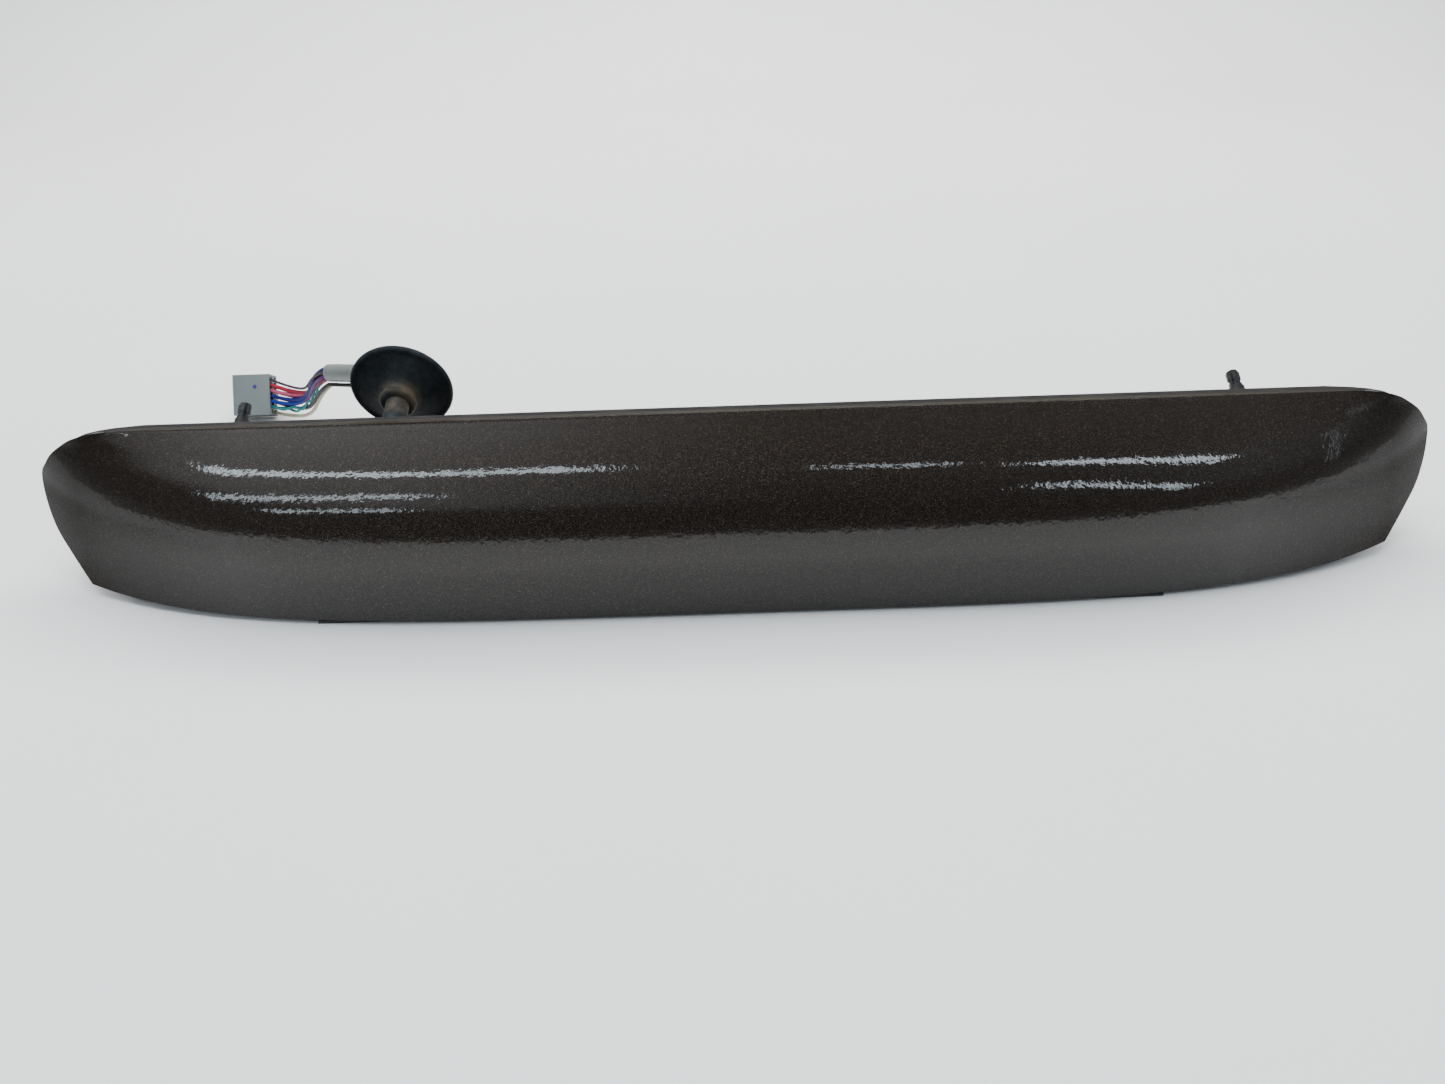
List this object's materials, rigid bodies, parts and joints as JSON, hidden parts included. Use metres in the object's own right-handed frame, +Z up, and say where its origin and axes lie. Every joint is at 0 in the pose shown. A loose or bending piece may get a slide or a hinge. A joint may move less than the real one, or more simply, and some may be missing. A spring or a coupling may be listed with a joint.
{
  "type": "third brake light",
  "caption": "Long high-mount stop lamp in a painted lip-shaped housing, with studs, sealing grommet and a short harness ending in a grey connector.",
  "frame": {"origin": "on the standing surface, under the middle of the object's box (cord left out)", "axes": "+X along the length, -Y towards the painted face, +Z up as it lies on its lamp"},
  "size_m": [0.5998, 0.2358, 0.0901],
  "materials": {
    "cover_paint": "dark brown-grey metallic paint under clear coat",
    "plate_plastic": "moulded",
    "seal_foam": "closed-cell foam",
    "black_plastic": "moulded",
    "red_lens": "clear red, glossy",
    "bright_reflector": "metallised",
    "board": "solder mask",
    "white_plastic": "moulded",
    "wire_jacket": "insulated wires",
    "led_plastic": "clear package",
    "zinc_steel": "zinc plated",
    "grommet_rubber": "dusty",
    "grey_tape": "wrapped tape",
    "grey_plastic": "moulded"
  },
  "bodies": {
    "lamp": {"board_connector": "white_plastic", "circuit_board": "board", "connector_housing": "grey_plastic", "grommet": "grommet_rubber", "harness_sleeve": "grey_tape", "harness_wires": "wire_jacket", "inner_harness": "wire_jacket", "lamp_body": "black_plastic", "lamp_screw_1": "zinc_steel", "lamp_screw_2": "zinc_steel", "lamp_screw_3": "zinc_steel", "lamp_screw_4": "zinc_steel", "led_01": "led_plastic", "led_02": "led_plastic", "led_03": "led_plastic", "led_04": "led_plastic", "led_05": "led_plastic", "led_06": "led_plastic", "led_07": "led_plastic", "led_08": "led_plastic", "led_09": "led_plastic", "led_10": "led_plastic", "led_11": "led_plastic", "led_12": "led_plastic", "lens": "red_lens", "lens_gasket": "seal_foam", "lower_panel": "black_plastic", "mount_plate": "plate_plastic", "mount_seal": "seal_foam", "mount_stud_left": "black_plastic", "mount_stud_right": "black_plastic", "painted_cover": "cover_paint", "reflector": "bright_reflector", "resistor_1": "black_plastic", "resistor_2": "black_plastic", "resistor_3": "black_plastic", "resistor_4": "black_plastic"},
    "latch": {"connector_latch": "grey_plastic"}
  },
  "joints": [
    {"name": "latch_press", "type": "hinge", "parent": "lamp", "child": "latch", "pos_m": [-0.2755, 0.18455, 0.00921], "axis": [0, -0.4848, -0.8746], "range_deg": [0, 5], "stiffness_Nm_per_rad": 0.02}
  ]
}
